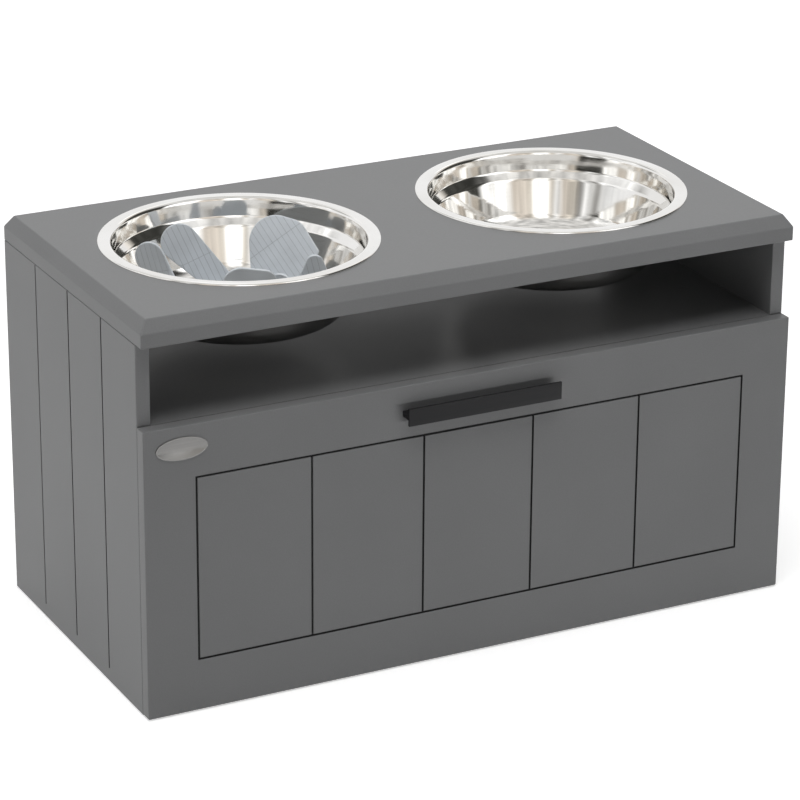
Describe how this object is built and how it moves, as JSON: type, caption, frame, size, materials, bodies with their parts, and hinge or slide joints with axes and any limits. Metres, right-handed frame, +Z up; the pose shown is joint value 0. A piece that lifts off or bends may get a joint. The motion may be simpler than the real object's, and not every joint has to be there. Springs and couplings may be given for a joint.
{
  "type": "elevated dog feeder with storage",
  "caption": "Raised pet feeder: a grey board cabinet with drop-in steel bowls in its top, a shelf compartment open at front and back, and a wide storage drawer on ball runners.",
  "frame": {"origin": "middle of the whole feeder's box at floor level, with the drawer shut and its handle counted", "axes": "+Z up, -Y is the front with the drawer, +X is to the right for someone facing the front"},
  "size_m": [0.6, 0.306, 0.3458],
  "materials": {
    "grey_painted_board": "fibreboard with satin grey paint",
    "white_hardboard": "thin hardboard with a light grey film",
    "plated_steel": "bright zinc plate",
    "zinc_casting": "raw die casting",
    "grey_cap_plastic": "moulded to match the paint",
    "beech_dowel": "bare fluted beech",
    "zinc_plated_rail": "zinc-plated rolled steel",
    "polished_ball_steel": "polished",
    "polished_stainless": "mirror-polished stainless steel",
    "grey_silicone": "matt silicone",
    "black_handle": "black powder coat",
    "satin_badge": "satin, blank"
  },
  "bodies": {
    "cabinet": {"top_panel": "grey_painted_board", "left_side_panel": "grey_painted_board", "right_side_panel": "grey_painted_board", "back_panel": "grey_painted_board", "shelf_panel": "grey_painted_board", "bottom_panel": "grey_painted_board", "cabinet_cam_bolts": "plated_steel", "cabinet_cam_locks": "zinc_casting", "cam_cover_caps": "grey_cap_plastic", "cabinet_dowels": "beech_dowel", "back_panel_screws": "plated_steel", "left_cabinet_rail": "zinc_plated_rail", "right_cabinet_rail": "zinc_plated_rail", "left_cabinet_rail_screws": "plated_steel", "right_cabinet_rail_screws": "plated_steel"},
    "drawer": {"drawer_front": "grey_painted_board", "drawer_left_side": "grey_painted_board", "drawer_right_side": "grey_painted_board", "drawer_back": "grey_painted_board", "drawer_bottom": "white_hardboard", "drawer_handle": "black_handle", "handle_screws": "plated_steel", "front_badge": "satin_badge", "drawer_cam_bolts": "plated_steel", "drawer_cam_locks": "zinc_casting", "drawer_dowels": "beech_dowel", "drawer_back_screws": "plated_steel", "left_drawer_rail": "zinc_plated_rail", "right_drawer_rail": "zinc_plated_rail", "left_drawer_rail_screws": "plated_steel", "right_drawer_rail_screws": "plated_steel"},
    "left_ball_cage": {"left_ball_cage": "zinc_plated_rail", "left_balls": "polished_ball_steel"},
    "right_ball_cage": {"right_ball_cage": "zinc_plated_rail", "right_balls": "polished_ball_steel"},
    "left_bowl": {"left_bowl": "polished_stainless"},
    "slow_feeder_insert": {"slow_feeder_insert": "grey_silicone"},
    "right_bowl": {"right_bowl": "polished_stainless"}
  },
  "joints": [
    {"name": "drawer_slide", "type": "slide", "parent": "cabinet", "child": "drawer", "axis": [0, -1, 0], "range_m": [0, 0.175]},
    {"name": "left_ball_cage_slide", "type": "slide", "parent": "cabinet", "child": "left_ball_cage", "axis": [0, -1, 0], "range_m": [0, 0.0875]},
    {"name": "right_ball_cage_slide", "type": "slide", "parent": "cabinet", "child": "right_ball_cage", "axis": [0, -1, 0], "range_m": [0, 0.0875]},
    {"name": "left_bowl_lift", "type": "slide", "parent": "cabinet", "child": "left_bowl", "axis": [0, 0, 1], "range_m": [0, 0.09]},
    {"name": "insert_lift", "type": "slide", "parent": "left_bowl", "child": "slow_feeder_insert", "axis": [0, 0, 1], "range_m": [0, 0.08]},
    {"name": "right_bowl_lift", "type": "slide", "parent": "cabinet", "child": "right_bowl", "axis": [0, 0, 1], "range_m": [0, 0.09]}
  ],
  "couplings": [
    {"joint": "left_ball_cage_slide", "follows": "drawer_slide", "ratio": 0.5},
    {"joint": "right_ball_cage_slide", "follows": "drawer_slide", "ratio": 0.5}
  ]
}
